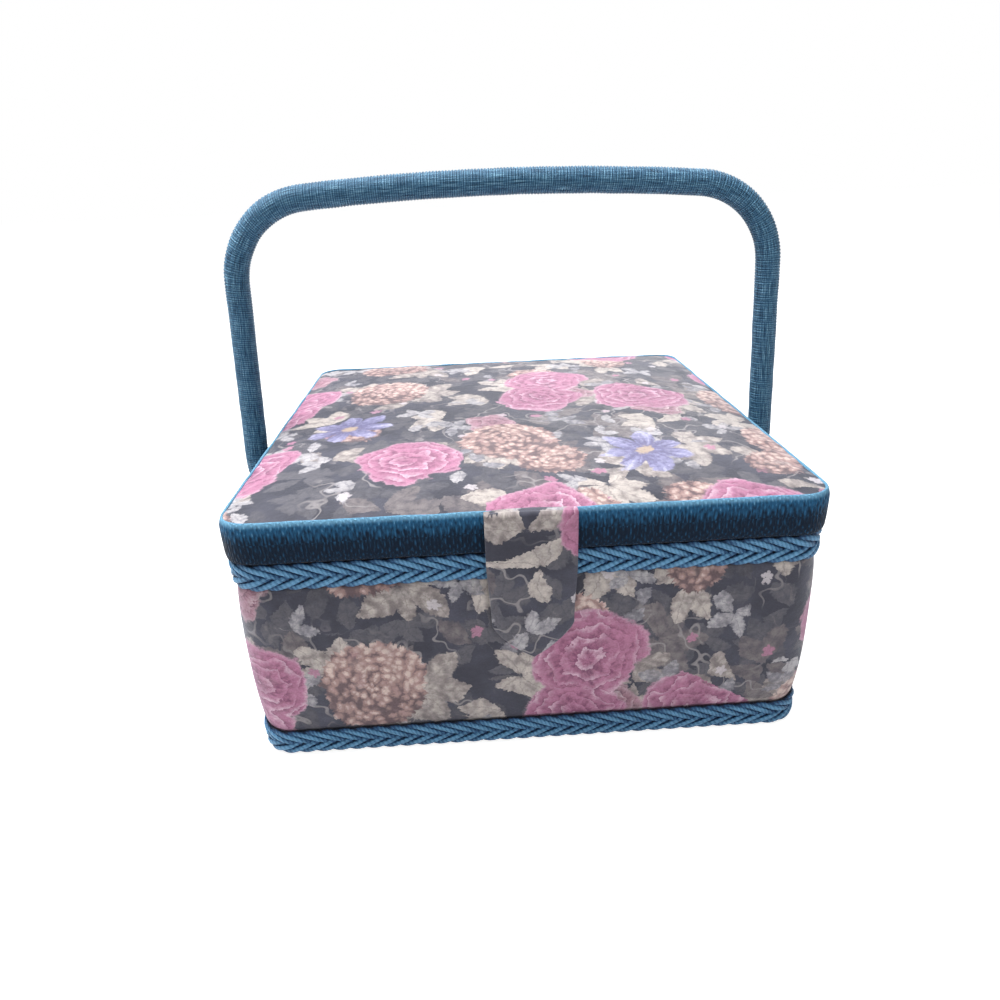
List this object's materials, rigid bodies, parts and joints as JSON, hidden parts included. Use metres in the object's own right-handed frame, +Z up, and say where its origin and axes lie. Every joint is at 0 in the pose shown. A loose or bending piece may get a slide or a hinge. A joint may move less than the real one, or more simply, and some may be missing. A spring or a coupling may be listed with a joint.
{
  "type": "sewing box",
  "caption": "Square cloth-covered sewing carrier with a hinged padded lid, a closing tab, a wound bow handle and a lift-out tray.",
  "frame": {"origin": "middle of the box's underside, on the surface that it stands on", "axes": "+X to the right seen from the closing tab, +Y to the hinges at the back, +Z up"},
  "size_m": [0.2468, 0.2175, 0.2016],
  "materials": {
    "floral_cotton": "printed cotton with a dense floral pattern on charcoal",
    "woven_band": "ribbed woven band, petrol blue",
    "gimp_braid": "plaited gimp braid, petrol blue",
    "wound_cord": "close-wound cord, petrol blue",
    "satin_lining": "padded satin, grey blue",
    "pocket_satin": "gathered satin",
    "elastic": "flat woven elastic in a satin casing",
    "pincushion_satin": "stuffed satin, dusty rose",
    "fibreboard": "raw bent fibreboard",
    "pad_foam": "thin upholstery foam",
    "base_cloth": "black non-woven base cloth",
    "tab_card": "card stiffener",
    "hinge_brass": "stamped and brass plated",
    "bolt_steel": "nickel plated",
    "rod_steel": "drawn rod, flattened at both ends",
    "magnet_steel": "nickel plated disc",
    "tray_plastic": "vacuum-formed, pale grey",
    "spacer_plastic": "moulded, petrol blue"
  },
  "bodies": {
    "box": {"base_cloth": "base_cloth", "base_board": "fibreboard", "wall_board": "fibreboard", "outer_cover": "floral_cotton", "rim_braid": "gimp_braid", "base_braid": "gimp_braid", "lining_front": "satin_lining", "lining_back": "satin_lining", "lining_left": "satin_lining", "lining_right": "satin_lining", "base_lining": "satin_lining", "closure_keeper": "magnet_steel", "lower_hinge_leaves": "hinge_brass", "hinge_pins": "hinge_brass", "lower_hinge_screws": "hinge_brass", "handle_bolts": "bolt_steel", "bolt_washers": "bolt_steel", "dome_nuts": "bolt_steel"},
    "tray": {"tray": "tray_plastic"},
    "lid": {"lid_rim_board": "fibreboard", "lid_board": "fibreboard", "lid_band": "woven_band", "lid_foam": "pad_foam", "lid_cover": "floral_cotton", "lid_lining": "satin_lining", "lid_rim_lining": "satin_lining", "lid_pocket": "pocket_satin", "pocket_elastic": "elastic", "pincushion": "pincushion_satin", "upper_hinge_leaves": "hinge_brass", "upper_hinge_screws": "hinge_brass", "tab_root": "floral_cotton"},
    "tab": {"tab_face_cloth": "floral_cotton", "tab_back_cloth": "floral_cotton", "tab_stiffener": "tab_card", "tab_magnet": "magnet_steel"},
    "handle_pivot": {"handle_spacers": "spacer_plastic"},
    "handle": {"handle_rod": "rod_steel", "handle_winding": "wound_cord"}
  },
  "joints": [
    {"name": "lid_open", "type": "hinge", "parent": "box", "child": "lid", "pos_m": [0, 0.1073, 0.08325], "axis": [-1, 0, 0], "range_deg": [0, 98]},
    {"name": "tab_lift", "type": "hinge", "parent": "lid", "child": "tab", "pos_m": [0, -0.107, 0.0982], "axis": [-1, 0, 0], "range_deg": [0, 110]},
    {"name": "tray_lift", "type": "slide", "parent": "box", "child": "tray", "axis": [0, 0, 1], "range_m": [0, 0.006]},
    {"name": "handle_fold_back", "type": "hinge", "parent": "box", "child": "handle_pivot", "pos_m": [0, 0, 0.036], "axis": [-1, 0, 0], "range_deg": [0, 98]},
    {"name": "handle_swing", "type": "hinge", "parent": "handle_pivot", "child": "handle", "pos_m": [0, 0, 0.036], "axis": [-1, 0, 0], "range_deg": [-98, 0]}
  ],
  "couplings": [
    {"joint": "handle_fold_back", "follows": "lid_open", "ratio": 1}
  ]
}
